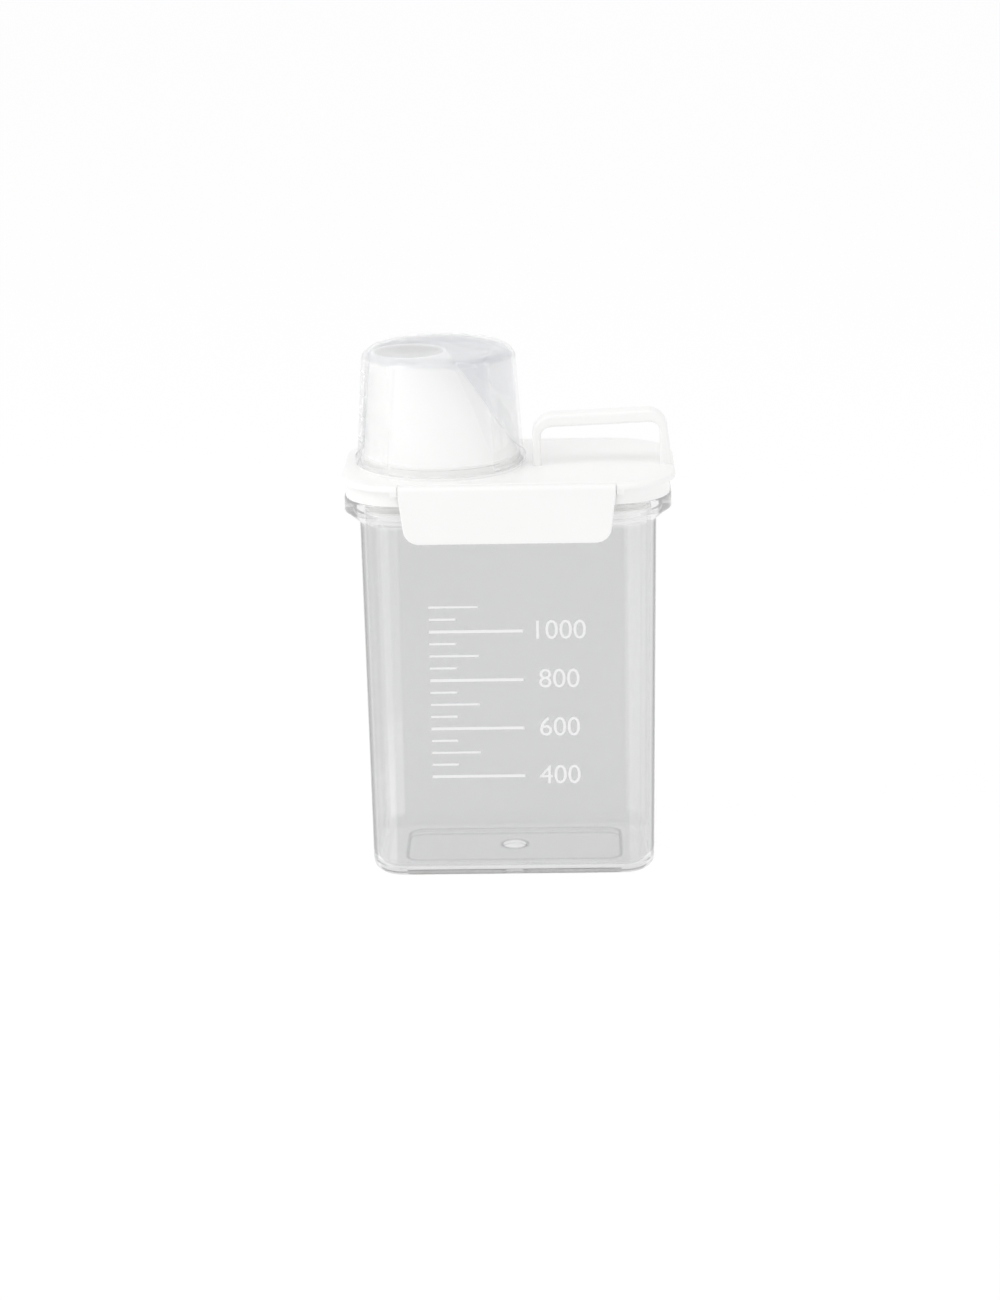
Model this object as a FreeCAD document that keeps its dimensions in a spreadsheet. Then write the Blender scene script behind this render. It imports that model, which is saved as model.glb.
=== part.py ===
"""Storage jar: clear box body, white lid with two lock flaps, pouring spout, measuring cup and carry handle.

Millimetres. The origin is at the middle of the underside, +Z is up and the front faces -Y.
"""
import FreeCAD
import Part
import Sketcher
import os

SIZES = [
    # The clear body.
    ("jar_width", 132.6, "body width at the shoulder"),
    ("jar_depth", 76.6, "body depth at the shoulder"),
    ("jar_height", 177.0, "underside to the top of the flange"),
    ("jar_corner", 16.0, "upright corner radius at the shoulder"),
    ("jar_draft", 1.8, "how far each side is set in at the base"),
    ("jar_wall", 2.2, "wall thickness"),
    ("jar_floor", 3.0, "floor thickness"),
    ("base_round", 5.5, "outer rounding round the base"),
    ("floor_round", 6.0, "inner rounding round the floor"),
    ("foot_margin", 15.0, "width of the ring that the jar stands on"),
    ("foot_corner", 7.0, "corner radius of the base panel"),
    ("foot_rise", 1.0, "rise of the base panel above the ring"),
    ("gate_radius", 6.0, "radius of the round mark in the base panel"),
    ("gate_rise", 0.6, "rise of that mark above the panel"),
    ("flange_reach", 6.9, "flange beyond the body"),
    ("flange_thick", 6.4, "upright edge of the flange"),
    ("flange_corner", 26.2, "corner radius of the flange"),
    ("flange_slope", 4.6, "height of the sloping underside of the flange"),
    ("flange_round", 0.9, "rounding of the flange's edges"),
    # The lid.
    ("lid_height", 9.5, "flange top to lid top"),
    ("lid_overhang", 1.8, "lid plate beyond the flange"),
    ("plate_thick", 2.4, "lid plate thickness"),
    ("plate_round", 1.9, "rounding of the lid plate's upper edge"),
    ("skirt_inset", 2.6, "skirt behind the lid plate's edge"),
    ("skirt_thick", 1.6, "skirt thickness"),
    ("plug_gap", 1.5, "plug to the inside of the mouth"),
    ("plug_thick", 1.8, "plug wall thickness"),
    ("plug_depth", 6.5, "plug below the flange top"),
    ("gasket_height", 3.0, "lid gasket height"),
    ("gasket_groove", 0.8, "depth of its groove in the plug"),
    ("gasket_foot", 1.2, "plug left below the groove"),
    ("gasket_lip", 0.7, "reach of the gasket's two lips"),
    ("gasket_lip_height", 0.8, "height of each lip"),
    # The lock flaps.
    ("flap_width", 96.0, "flap width at its hinge"),
    ("flap_taper", 2.8, "how far each side of the flap comes in towards its lower edge"),
    ("flap_drop", 26.1, "lid top to the flap's lower edge"),
    ("flap_thick", 2.2, "flap thickness"),
    ("flap_gap", 0.6, "flap to the flange"),
    ("flap_corner", 7.0, "corner radius of the flap's lower edge"),
    ("flap_edge", 0.7, "rounding of the flap's front edges"),
    ("flap_side_gap", 0.25, "flap to the ends of its notch"),
    ("barrel_radius", 2.2, "radius of the flap's hinge barrel"),
    ("hinge_inset", 2.2, "hinge axis behind the lid plate's edge"),
    ("flap_swing", 100.0, "how far a flap swings open, in degrees"),
    ("flap_pin_radius", 1.1, "radius of the flap's hinge pins"),
    ("flap_pin_length", 2.6, "length of each hinge pin"),
    ("hook_reach", 2.4, "hook inwards from the flap"),
    ("hook_clear", 0.55, "hook below the flange"),
    ("hook_tip", 1.0, "height of the hook's tip"),
    ("hook_foot", 2.0, "sloping underside of the hook"),
    ("hook_inset", 6.2, "hook's ends in from the flap's lower corners"),
    ("notch_round", 0.8, "rounding of the lid plate's edge behind the flap"),
    ("rail_thick", 2.05, "wall behind the hinge"),
    ("rail_floor", 1.5, "floor of the notch below the hinge"),
    ("lug_wall", 1.2, "lug below its pin hole"),
    ("lug_face", 0.6, "lug in front of its pin hole"),
    ("lug_cap", 0.8, "lug beyond the end of its pin hole"),
    # The pouring spout and its rings.
    ("spout_height", 51.5, "lid top to the spout's mouth"),
    ("spout_mouth_radius", 16.9, "outer radius of the mouth"),
    ("mouth_reach", 1.8, "mouth past the foot of the rounding of the cup's closed end"),
    ("spout_wall", 2.0, "wall of the funnel"),
    ("spout_lip", 0.6, "rounding of the mouth"),
    ("seat_reach", 7.6, "flange that the cup stands on, beyond the spigot"),
    ("seat_thick", 1.5, "thickness of that flange"),
    ("collar_height", 4.3, "collar that the cup goes over"),
    ("collar_step", 1.0, "step from the collar in to the funnel"),
    ("spigot_side", 2.7, "snap bead to the plug, at the front and the back"),
    ("spigot_end", 0.3, "snap bead to the plug, at the left end"),
    ("spigot_wall", 1.8, "wall of the spout there"),
    ("snap_reach", 0.5, "snap bead or barb under the lid plate"),
    ("snap_height", 1.6, "height of the snap bead or barb"),
    ("snap_gap", 0.2, "snap bead or barb to the lid plate"),
    ("ring_width", 2.6, "width of the flat ring under the spout"),
    ("ring_thick", 0.8, "thickness of that ring"),
    ("ring_inset", 1.6, "ring outside the hole in the lid"),
    ("seal_height", 1.8, "height of the ring in the collar"),
    ("seal_depth", 1.0, "depth of its groove"),
    ("seal_proud", 0.15, "ring proud of the collar"),
    # The measuring cup.
    ("cup_room", 0.7, "spout's mouth to the closed end"),
    ("cup_seat", 0.6, "cup's wall beyond the flange that it stands on"),
    ("cup_draft", 3.4, "how far the wall comes in towards the closed end"),
    ("cup_wall", 1.6, "cup wall"),
    ("cup_round", 6.0, "outer rounding of the closed end"),
    ("cup_rim_reach", 0.9, "rim ring beyond the wall"),
    ("cup_rim_height", 2.8, "height of the rim ring"),
    ("cup_rim_round", 0.5, "rounding of the rim ring"),
    ("cup_turn", 17.0, "turn of the marks towards the front, in degrees"),
    ("mark_first", 9.5, "closed end to the first mark"),
    ("mark_pitch", 10.0, "mark to mark"),
    ("mark_height", 0.9, "height of a mark"),
    ("mark_proud", 0.35, "marks proud of the wall"),
    ("mark_sweep", 15.0, "length of a mark, in degrees"),
    # The carry handle and the tongues that hold it in the lid.
    ("handle_gap", 3.0, "left leg to the cup's rim ring"),
    ("handle_rise", 22.85, "bar above the lid top at its left corner"),
    ("handle_tilt", 2.3, "rise of the bar towards the right, in degrees"),
    ("handle_front", 9.5, "front of the strap, in front of the middle"),
    ("handle_depth", 10.5, "strap from front to back"),
    ("bar_thick", 5.7, "thickness of the bar"),
    ("leg_thick", 3.8, "thickness of the left leg"),
    ("leg_foot", 5.5, "thickness of the right leg at its foot"),
    ("leg_slope", 7.0, "slope of the right leg's outer face, in degrees"),
    ("bend_outer", 9.3, "outer radius of the bends"),
    ("bend_inner", 4.6, "inner radius of the bends"),
    ("strap_round", 1.4, "rounding of the strap's edges"),
    ("tongue_thick", 1.2, "thickness of the tongue under each leg"),
    ("tongue_margin", 1.8, "tongue in from the front and the back of the strap"),
    ("tongue_inset", 0.9, "tongue behind the inner face of its leg"),
    ("tongue_gap", 0.15, "right tongue to the skirt"),
    # Running clearances.
    ("pin_clear", 0.06, "pin to its hole, on the radius"),
    ("ring_clear", 0.1, "ring to its groove, spigot to its hole, tongue to its slot"),
    ("slide_clear", 0.25, "gasket to the mouth, on each side"),
    ("cup_clear", 0.3, "cup to the collar, on the radius"),
    ("hinge_clear", 0.3, "turning flap to the lid"),
    ("end_clear", 0.2, "end of a pin to the end of its hole"),
]
MARK_COUNT = 4
FULL_TURN = "360"
EDGE_TOLERANCE = 0.01

doc = FreeCAD.newDocument("storage_jar")
dims = doc.addObject("Spreadsheet::Sheet", "dims")
for row, (alias, size, meaning) in enumerate(SIZES, 1):
    dims.set(f"A{row}", meaning)
    dims.set(f"B{row}", str(size))
    dims.setAlias(f"B{row}", alias)
doc.recompute()

# Half sizes of the outlines that lie inside one another.
JAR_X = "(dims.jar_width / 2)"
JAR_Y = "(dims.jar_depth / 2)"
BASE_X = f"({JAR_X} - dims.jar_draft)"
BASE_Y = f"({JAR_Y} - dims.jar_draft)"
BASE_CORNER = "(dims.jar_corner - dims.jar_draft)"
FLANGE_X = f"({JAR_X} + dims.flange_reach)"
FLANGE_Y = f"({JAR_Y} + dims.flange_reach)"
LID_X = f"({FLANGE_X} + dims.lid_overhang)"
LID_Y = f"({FLANGE_Y} + dims.lid_overhang)"
LID_CORNER = "(dims.flange_corner + dims.lid_overhang)"
MOUTH_X = f"({JAR_X} - dims.jar_wall)"
MOUTH_Y = f"({JAR_Y} - dims.jar_wall)"
MOUTH_CORNER = "(dims.jar_corner - dims.jar_wall)"
SKIRT_Y = f"({LID_Y} - dims.skirt_inset)"

# Levels that pieces share.
LID_TOP = "(dims.jar_height + dims.lid_height)"
PLATE_UNDER = f"({LID_TOP} - dims.plate_thick)"
FLANGE_UNDER = "(dims.jar_height - dims.flange_thick)"
SHOULDER = f"({FLANGE_UNDER} - dims.flange_slope)"
PLUG_FOOT = "(dims.jar_height - dims.plug_depth)"
GASKET_FOOT = f"({PLUG_FOOT} + dims.gasket_foot)"

# The lock flaps' hinge, in the front flap's place.
HINGE_Y = f"({LID_Y} - dims.hinge_inset)"
HINGE_Z = f"({LID_TOP} - dims.barrel_radius)"
FLAP_INNER_Y = f"({FLANGE_Y} + dims.flap_gap)"
FLAP_OUTER_Y = f"({FLAP_INNER_Y} + dims.flap_thick)"
FLAP_ROUND_Y = f"({FLAP_OUTER_Y} - dims.barrel_radius)"
FLAP_FOOT = f"({LID_TOP} - dims.flap_drop)"
BARREL_FOOT = f"({HINGE_Z} - dims.barrel_radius)"
FLAP_HOLE = "(dims.flap_pin_radius + dims.pin_clear)"
SWING = "(dims.flap_swing * 1 deg)"
BARREL_SWEEP = (
    f"max(dims.barrel_radius; dims.barrel_radius * sin({SWING})"
    f" - ({FLAP_ROUND_Y} - {HINGE_Y}) * cos({SWING}))"
)
NOTCH_X = "(dims.flap_width / 2 + dims.flap_side_gap)"
PIN_HOLE_X = "(dims.flap_width / 2 + dims.flap_pin_length + dims.end_clear)"
LUG_X = f"({PIN_HOLE_X} + dims.lug_cap)"
FLAP_FOOT_X = "(dims.flap_width / 2 - dims.flap_taper)"
NOTCH_Y = f"({HINGE_Y} - {BARREL_SWEEP} - dims.hinge_clear)"
NOTCH_FLOOR = f"({BARREL_FOOT} - 2 * dims.hinge_clear)"

# The spout goes through the lid as near the plug's left end as its snap bead allows.
PLUG_INSET = "(dims.plug_gap + dims.plug_thick)"
SPIGOT_RADIUS = f"({MOUTH_Y} - {PLUG_INSET} - dims.snap_reach - dims.spigot_side)"
SPOUT_X = f"({SPIGOT_RADIUS} + dims.snap_reach + dims.spigot_end + {PLUG_INSET} - {MOUTH_X})"
HOLE_RADIUS = f"({SPIGOT_RADIUS} + dims.ring_clear)"
RING_INNER = f"({HOLE_RADIUS} + dims.ring_inset)"
SEAT_RADIUS = f"({SPIGOT_RADIUS} + dims.seat_reach)"

# The cup over it, and the collar and the leaning mouth inside the cup, from the lid's top up.
CUP_RADIUS = f"({SEAT_RADIUS} + dims.cup_seat)"
CUP_TOP_RADIUS = f"({CUP_RADIUS} - dims.cup_draft)"
CUP_RIM_RADIUS = f"({CUP_RADIUS} + dims.cup_rim_reach)"
CUP_HEIGHT = "(dims.spout_height - dims.seat_thick + dims.cup_room + dims.cup_wall)"
CUP_TAPER = f"(dims.cup_draft / {CUP_HEIGHT})"
COLLAR_RADIUS = (
    f"({CUP_RADIUS} - dims.cup_wall - dims.collar_height * {CUP_TAPER} - dims.cup_clear)"
)
COLLAR_TOP = "(dims.seat_thick + dims.collar_height)"
SEAL_FOOT = "(dims.seat_thick + (dims.collar_height - dims.seal_height) / 2)"
FUNNEL_RADIUS = f"({COLLAR_RADIUS} - dims.collar_step)"
SPOUT_LEAN = f"({CUP_TOP_RADIUS} - dims.cup_round + dims.mouth_reach - dims.spout_mouth_radius)"

# The handle stands between the cup's rim ring and the lid's right end.
LEG_LEFT = f"({SPOUT_X} + {CUP_RIM_RADIUS} + dims.handle_gap)"
LEG_LEFT_INNER = f"({LEG_LEFT} + dims.leg_thick)"
TONGUE_RIGHT = f"({LID_X} - dims.skirt_inset - dims.skirt_thick - dims.tongue_gap)"
LEG_RIGHT_INNER = f"({TONGUE_RIGHT} - dims.tongue_thick - dims.tongue_inset)"
LEG_RIGHT = f"({LEG_RIGHT_INNER} + dims.leg_foot)"
STRAP_FRONT = "(-dims.handle_front)"
STRAP_BACK = f"({STRAP_FRONT} + dims.handle_depth)"
TILT = "(dims.handle_tilt * 1 deg)"
SLOPE = "(dims.leg_slope * 1 deg)"
TONGUE_FRONT = f"({STRAP_FRONT} + dims.tongue_margin)"
TONGUE_BACK = f"({STRAP_BACK} - dims.tongue_margin)"


def value(expression):
    """The number that an expression on the sheet's sizes comes to."""
    return float(dims.evalExpression(expression))


def new_body(name):
    """A sub-part, whose label names its file."""
    body = doc.addObject("PartDesign::Body", name)
    body.Label = name
    return body


def new_sketch(body, name, role="XY_Plane", offset="0"):
    """A sketch on one of the body's own origin planes, moved along the plane's normal."""
    sketch = body.newObject("Sketcher::SketchObject", name)
    planes = {feature.Role: feature for feature in body.Origin.OriginFeatures}
    sketch.AttachmentSupport = [(planes[role], "")]
    sketch.MapMode = "FlatFace"
    sketch.setExpression("AttachmentOffset.Base.z", offset)
    return sketch


def bind(sketch, constraint, expression):
    """Adds a sized constraint and ties it to the sheet."""
    index = sketch.addConstraint(constraint)
    sketch.setExpression(f"Constraints[{index}]", expression)


def place_point(sketch, geometry, end, x, y):
    """Holds a point of a line, arc or circle at a place given by two expressions."""
    for kind, axis, expression in (("DistanceX", -2, x), ("DistanceY", -1, y)):
        distance = value(expression)
        if distance == 0:
            sketch.addConstraint(Sketcher.Constraint("PointOnObject", geometry, end, axis))
        else:
            bind(sketch, Sketcher.Constraint(kind, -1, 1, geometry, end, distance), expression)


def turning_arc(start, end, radius):
    """The shorter arc from start to end, anticlockwise."""
    chord = end - start
    middle = (start + end) / 2
    across = FreeCAD.Vector(-chord.y, chord.x, 0)
    across.normalize()
    centre = middle + across * (radius ** 2 - (chord.Length / 2) ** 2) ** 0.5
    return Part.Arc(start, centre - across * radius, end)


def add_outline(sketch, corners):
    """A closed outline, whose corners are (x, y) where a line starts.

    (x, y, radius) starts an arc, anticlockwise, or clockwise with "right" as a fourth item.
    """
    first = sketch.GeometryCount
    count = len(corners)
    places = [FreeCAD.Vector(value(corner[0]), value(corner[1]), 0) for corner in corners]
    backward = [len(corner) == 4 for corner in corners]
    for index, corner in enumerate(corners):
        start = places[index]
        end = places[(index + 1) % count]
        if len(corner) == 2:
            piece = Part.LineSegment(start, end)
        elif backward[index]:
            piece = turning_arc(end, start, value(corner[2]))
        else:
            piece = turning_arc(start, end, value(corner[2]))
        sketch.addGeometry(piece, False)
    for index, corner in enumerate(corners):
        following = (index + 1) % count
        leaves_at = 2 if backward[index] else 1
        arrives_at = 1 if backward[index] else 2
        next_leaves_at = 2 if backward[following] else 1
        sketch.addConstraint(Sketcher.Constraint(
            "Coincident", first + index, arrives_at, first + following, next_leaves_at))
        place_point(sketch, first + index, leaves_at, corner[0], corner[1])
        if len(corner) > 2:
            bind(sketch, Sketcher.Constraint("Radius", first + index, value(corner[2])), corner[2])


def add_rectangle(sketch, x_low, y_low, x_high, y_high):
    """A rectangle between two corners."""
    add_outline(sketch, [(x_low, y_low), (x_high, y_low), (x_high, y_high), (x_low, y_high)])


def add_rounded(sketch, half_x, half_y, corner):
    """A rectangle about the origin with rounded corners."""
    flat_x = f"({half_x} - {corner})"
    flat_y = f"({half_y} - {corner})"
    add_outline(sketch, [
        (f"-{flat_x}", f"-{half_y}"),
        (flat_x, f"-{half_y}", corner),
        (half_x, f"-{flat_y}"),
        (half_x, flat_y, corner),
        (flat_x, half_y),
        (f"-{flat_x}", half_y, corner),
        (f"-{half_x}", flat_y),
        (f"-{half_x}", f"-{flat_y}", corner),
    ])


def add_circle(sketch, x, y, radius):
    """A circle about a place given by two expressions."""
    centre = FreeCAD.Vector(value(x), value(y), 0)
    circle = Part.Circle(centre, FreeCAD.Vector(0, 0, 1), value(radius))
    index = sketch.addGeometry(circle, False)
    place_point(sketch, index, 3, x, y)
    bind(sketch, Sketcher.Constraint("Radius", index, value(radius)), radius)


def rounded_sketch(body, name, level, half_x, half_y, corner):
    """A level sketch of one rounded rectangle."""
    sketch = new_sketch(body, name, offset=level)
    add_rounded(sketch, half_x, half_y, corner)
    return sketch


def inset_outline(sketch, half_x, half_y, corner, inset):
    """A rounded rectangle set in from another by the same amount all round."""
    add_rounded(sketch, f"({half_x} - {inset})", f"({half_y} - {inset})", f"({corner} - {inset})")


def pad(body, sketch, length, side="One side", down=False):
    """Material from a sketch along its normal, or against it."""
    feature = body.newObject("PartDesign::Pad", f"{sketch.Name}_pad")
    feature.Profile = sketch
    feature.SideType = side
    feature.Reversed = down
    feature.setExpression("Length", length)
    return feature


def pocket(body, sketch, length, side="One side", up=False):
    """A cut from a sketch against its normal, or along it, which has to take material away."""
    doc.recompute()
    before = body.Shape.Volume
    feature = body.newObject("PartDesign::Pocket", f"{sketch.Name}_pocket")
    feature.Profile = sketch
    feature.SideType = side
    feature.Reversed = up
    feature.setExpression("Length", length)
    doc.recompute()
    if not body.Shape.Volume < before:
        raise RuntimeError(f"{sketch.Name} cuts nothing")
    return feature


def loft(body, kind, low, high):
    """Straight walls from one sketch to another."""
    feature = body.newObject(f"PartDesign::{kind}", f"{low.Name}_{high.Name}")
    feature.Profile = low
    feature.Sections = [high]
    feature.Ruled = True
    return feature


def revolve(body, sketch, angle=FULL_TURN, both_ways=False):
    """A turned shape about the body's own upright axis."""
    feature = body.newObject("PartDesign::Revolution", f"{sketch.Name}_turned")
    feature.Profile = sketch
    feature.ReferenceAxis = (sketch, ["V_Axis"])
    feature.Midplane = both_ways
    feature.setExpression("Angle", f"{angle} * 1 deg")
    return feature


def round_edges(body, name, radius, chosen):
    """A fillet on the edges whose boxes pass a test."""
    doc.recompute()
    base = body.Tip
    edges = [f"Edge{index}" for index, edge in enumerate(base.Shape.Edges, 1) if chosen(edge.BoundBox)]
    feature = body.newObject("PartDesign::Fillet", name)
    feature.Base = (base, edges)
    feature.setExpression("Radius", radius)
    return feature


def near(first, second):
    """Whether two lengths agree, as far as picking an edge needs."""
    return abs(first - second) < EDGE_TOLERANCE


def level_at(box, level):
    """Whether an edge lies flat at a height."""
    return near(box.ZMin, level) and near(box.ZMax, level)


def make_jar_body():
    """Tapered box with a flange round its mouth and a raised panel in its base."""
    body = new_body("jar_body")
    base = rounded_sketch(body, "base", "0", BASE_X, BASE_Y, BASE_CORNER)
    shoulder = rounded_sketch(body, "shoulder", SHOULDER, JAR_X, JAR_Y, "dims.jar_corner")
    flange = rounded_sketch(body, "flange", FLANGE_UNDER, FLANGE_X, FLANGE_Y, "dims.flange_corner")
    loft(body, "AdditiveLoft", base, shoulder)
    loft(body, "AdditiveLoft", shoulder, flange)
    pad(body, flange, "dims.flange_thick")
    round_edges(body, "base_edge", "dims.base_round", lambda box: level_at(box, 0))
    flange_levels = (value(FLANGE_UNDER), value("dims.jar_height"))
    round_edges(body, "flange_edges", "dims.flange_round",
                lambda box: any(level_at(box, level) for level in flange_levels))
    floor = new_sketch(body, "floor", offset="dims.jar_floor")
    inset_outline(floor, BASE_X, BASE_Y, BASE_CORNER, "dims.jar_wall")
    mouth = rounded_sketch(body, "mouth", "dims.jar_height", MOUTH_X, MOUTH_Y, MOUTH_CORNER)
    loft(body, "SubtractiveLoft", floor, mouth)
    floor_level = value("dims.jar_floor")
    round_edges(body, "floor_edge", "dims.floor_round", lambda box: level_at(box, floor_level))
    panel = rounded_sketch(body, "panel", "0", f"({BASE_X} - dims.foot_margin)",
                           f"({BASE_Y} - dims.foot_margin)", "dims.foot_corner")
    pocket(body, panel, "dims.foot_rise", up=True)
    gate = new_sketch(body, "gate")
    add_circle(gate, "0", "0", "dims.gate_radius")
    pocket(body, gate, "dims.foot_rise + dims.gate_rise", up=True)
    return body


def add_hinge_lugs(body):
    """Rails and lugs for the flaps at the front and back edges, notched for the barrels."""
    length = f"2 * {LUG_X}"
    rail_inner = f"({NOTCH_Y} - dims.rail_thick)"
    lug_outer = f"({HINGE_Y} + {FLAP_HOLE} + dims.lug_face)"
    lug_foot = f"({HINGE_Z} - {FLAP_HOLE} - dims.lug_wall)"
    rail_foot = f"({NOTCH_FLOOR} - dims.rail_floor)"
    for name, outer, foot in (("rails", SKIRT_Y, rail_foot), ("lugs", lug_outer, lug_foot)):
        blocks = new_sketch(body, name, "YZ_Plane")
        add_rectangle(blocks, f"-{outer}", foot, f"-{rail_inner}", PLATE_UNDER)
        add_rectangle(blocks, rail_inner, foot, outer, PLATE_UNDER)
        pad(body, blocks, length, side="Symmetric")
    notches = new_sketch(body, "notches", offset=LID_TOP)
    beyond = f"({LID_Y} + dims.barrel_radius)"
    add_rectangle(notches, f"-{NOTCH_X}", f"-{beyond}", NOTCH_X, f"-{NOTCH_Y}")
    add_rectangle(notches, f"-{NOTCH_X}", NOTCH_Y, NOTCH_X, beyond)
    pocket(body, notches, f"{LID_TOP} - {NOTCH_FLOOR}")
    lid_top = value(LID_TOP)
    notch_y = value(NOTCH_Y)
    round_edges(body, "notch_edges", "dims.notch_round", lambda box: (
        level_at(box, lid_top) and near(box.YMin, box.YMax) and near(abs(box.YMin), notch_y)
    ))
    holes = new_sketch(body, "flap_holes", "YZ_Plane")
    for side in ("-", ""):
        add_circle(holes, f"{side}{HINGE_Y}", HINGE_Z, FLAP_HOLE)
    pocket(body, holes, f"2 * {PIN_HOLE_X}", side="Symmetric")


def tongue_sides():
    """Each tongue's outer and inner face, and which way is inwards for it."""
    left = f"({LEG_LEFT_INNER} - dims.tongue_inset)"
    right = f"({LEG_RIGHT_INNER} + dims.tongue_inset)"
    return [
        ("left", f"({left} - dims.tongue_thick)", left, "+"),
        ("right", f"({right} + dims.tongue_thick)", right, "-"),
    ]


def add_handle_slots(body):
    """A slot through the plate for the tongue under each leg of the handle."""
    slots = new_sketch(body, "handle_slots", offset=LID_TOP)
    front = f"({TONGUE_FRONT} - dims.ring_clear)"
    back = f"({TONGUE_BACK} + dims.ring_clear)"
    for side, outer, inner, _ in tongue_sides():
        low, high = (outer, inner) if side == "left" else (inner, outer)
        add_rectangle(slots, f"({low} - dims.ring_clear)", front, f"({high} + dims.ring_clear)", back)
    pocket(body, slots, "dims.plate_thick")


def make_lid():
    """Plate with a skirt that stands on the flange and a plug that reaches into the mouth."""
    body = new_body("lid")
    plate = rounded_sketch(body, "plate", PLATE_UNDER, LID_X, LID_Y, LID_CORNER)
    pad(body, plate, "dims.plate_thick")
    lid_top = value(LID_TOP)
    round_edges(body, "plate_edge", "dims.plate_round", lambda box: level_at(box, lid_top))
    skirt = new_sketch(body, "skirt", offset="dims.jar_height")
    inset_outline(skirt, LID_X, LID_Y, LID_CORNER, "dims.skirt_inset")
    inset_outline(skirt, LID_X, LID_Y, LID_CORNER, "(dims.skirt_inset + dims.skirt_thick)")
    pad(body, skirt, f"{PLATE_UNDER} - dims.jar_height")
    plug = new_sketch(body, "plug", offset=PLUG_FOOT)
    inset_outline(plug, MOUTH_X, MOUTH_Y, MOUTH_CORNER, "dims.plug_gap")
    inset_outline(plug, MOUTH_X, MOUTH_Y, MOUTH_CORNER, "(dims.plug_gap + dims.plug_thick)")
    pad(body, plug, f"{PLATE_UNDER} - {PLUG_FOOT}")
    groove = new_sketch(body, "groove", offset=f"{GASKET_FOOT} + dims.gasket_height")
    add_rounded(groove, MOUTH_X, MOUTH_Y, MOUTH_CORNER)
    inset_outline(groove, MOUTH_X, MOUTH_Y, MOUTH_CORNER, "(dims.plug_gap + dims.gasket_groove)")
    pocket(body, groove, "dims.gasket_height")
    add_hinge_lugs(body)
    add_handle_slots(body)
    opening = new_sketch(body, "opening", offset=LID_TOP)
    add_circle(opening, SPOUT_X, "0", HOLE_RADIUS)
    pocket(body, opening, "dims.plate_thick")
    recess = new_sketch(body, "recess", offset=LID_TOP)
    add_circle(recess, SPOUT_X, "0", f"{RING_INNER} - dims.ring_clear")
    add_circle(recess, SPOUT_X, "0", f"{RING_INNER} + dims.ring_width + dims.ring_clear")
    pocket(body, recess, "dims.ring_thick")
    return body


def make_lid_gasket():
    """Silicone ring round the plug, with two lips towards the mouth."""
    body = new_body("lid_gasket")
    inner = "(dims.plug_gap + dims.gasket_groove - dims.ring_clear)"
    core = "(dims.slide_clear + dims.gasket_lip)"
    ring = new_sketch(body, "ring", offset=GASKET_FOOT)
    inset_outline(ring, MOUTH_X, MOUTH_Y, MOUTH_CORNER, core)
    inset_outline(ring, MOUTH_X, MOUTH_Y, MOUTH_CORNER, inner)
    height = "(dims.gasket_height - dims.ring_clear)"
    pad(body, ring, height)
    for name, level in (("low_lip", GASKET_FOOT),
                        ("high_lip", f"{GASKET_FOOT} + {height} - dims.gasket_lip_height")):
        lip = new_sketch(body, name, offset=level)
        inset_outline(lip, MOUTH_X, MOUTH_Y, MOUTH_CORNER, "dims.slide_clear")
        inset_outline(lip, MOUTH_X, MOUTH_Y, MOUTH_CORNER, inner)
        pad(body, lip, "dims.gasket_lip_height")
    return body


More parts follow.
